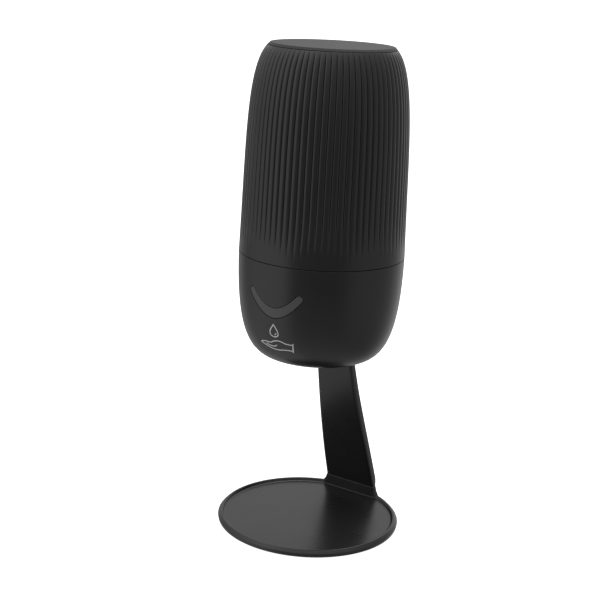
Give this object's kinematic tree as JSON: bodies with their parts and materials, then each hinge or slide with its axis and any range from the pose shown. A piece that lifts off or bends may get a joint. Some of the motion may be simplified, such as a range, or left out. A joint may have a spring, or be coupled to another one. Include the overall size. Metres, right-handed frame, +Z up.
{
  "type": "automatic foam soap dispenser",
  "caption": "Sensor foam soap dispenser: fluted tank with a flat lid on a smooth bowl, held by a leaning column over a round drip tray, with its pump, battery and boards inside.",
  "frame": {"origin": "centre of the round tray's underside, on the surface that it stands on", "axes": "+Z up along the body's axis; -Y is the front, where the indicator key is; +X is to the right seen from the front; the column stands at the back, towards +Y"},
  "size_m": [0.096, 0.096, 0.2501],
  "materials": {
    "black_coat": "satin black coat",
    "black_plastic": "satin black, slightly grained",
    "lid_plastic": "matte black",
    "key_plastic": "matte dark grey",
    "black_rubber": "matte",
    "clear_silicone": "milky, soft",
    "white_plastic": "matte, moulded",
    "dark_window": "glossy, passes infrared light",
    "board_green": "glass fibre laminate",
    "chip_black": "moulded package",
    "steel": "plain, bright",
    "battery_wrap": "blue shrink wrap over a metal can",
    "lamp_white": "clear lens"
  },
  "bodies": {
    "stand": {"stand": "black_coat", "foot_pad": "black_rubber"},
    "dispenser": {"battery_cell": "battery_wrap", "battery_plug": "white_plastic", "battery_strap": "black_rubber", "bottom_cover": "black_plastic", "bowl_housing": "black_plastic", "chassis": "white_plastic", "chassis_screw_1": "steel", "chassis_screw_2": "steel", "chassis_screw_3": "steel", "chassis_screw_4": "steel", "chassis_screw_5": "steel", "chassis_screw_6": "steel", "control_chip": "chip_black", "cover_screw_left": "steel", "cover_screw_right": "steel", "diaphragm": "clear_silicone", "foam_head": "white_plastic", "foam_mesh_1": "white_plastic", "foam_mesh_2": "white_plastic", "foam_tube": "clear_silicone", "indicator_lamp_1": "lamp_white", "indicator_lamp_2": "lamp_white", "indicator_lamp_3": "lamp_white", "indicator_lamp_4": "lamp_white", "infrared_emitter": "chip_black", "infrared_receiver": "chip_black", "inlet_tube": "clear_silicone", "key_board": "board_green", "key_switch": "chip_black", "main_board": "board_green", "nozzle": "black_rubber", "power_coil": "chip_black", "pump_head": "white_plastic", "pump_housing": "white_plastic", "pump_motor": "steel", "pump_screw_1": "steel", "pump_screw_2": "steel", "sensor_board": "board_green", "sensor_window": "dark_window", "stand_socket": "white_plastic", "tank": "black_plastic", "tank_seal": "black_rubber", "tank_strainer": "white_plastic", "usb_socket": "steel", "wobble_plate": "white_plastic"},
    "lid": {"tank_lid": "lid_plastic", "lid_gasket": "black_rubber"},
    "key": {"indicator_key": "key_plastic"},
    "port_cover": {"port_cover": "black_rubber"},
    "pump_rotor": {"motor_shaft": "steel", "eccentric_hub": "white_plastic"}
  },
  "joints": [
    {"name": "dispenser_lift", "type": "slide", "parent": "stand", "child": "dispenser", "axis": [0, 0, 1], "range_m": [0, 0.025]},
    {"name": "lid_lift", "type": "slide", "parent": "dispenser", "child": "lid", "axis": [0, 0, 1], "range_m": [0, 0.015]},
    {"name": "key_press", "type": "slide", "parent": "dispenser", "child": "key", "axis": [0, 1, 0], "range_m": [0, 0.0006], "stiffness_N_per_m": 400},
    {"name": "port_cover_hinge", "type": "hinge", "parent": "dispenser", "child": "port_cover", "pos_m": [0, 0.04055, 0.1246], "axis": [1, 0, 0], "range_deg": [0, 95]},
    {"name": "motor_spin", "type": "hinge", "parent": "dispenser", "child": "pump_rotor", "pos_m": [0, -0.008, 0.1265], "axis": [1, 0, 0], "continuous": true}
  ]
}
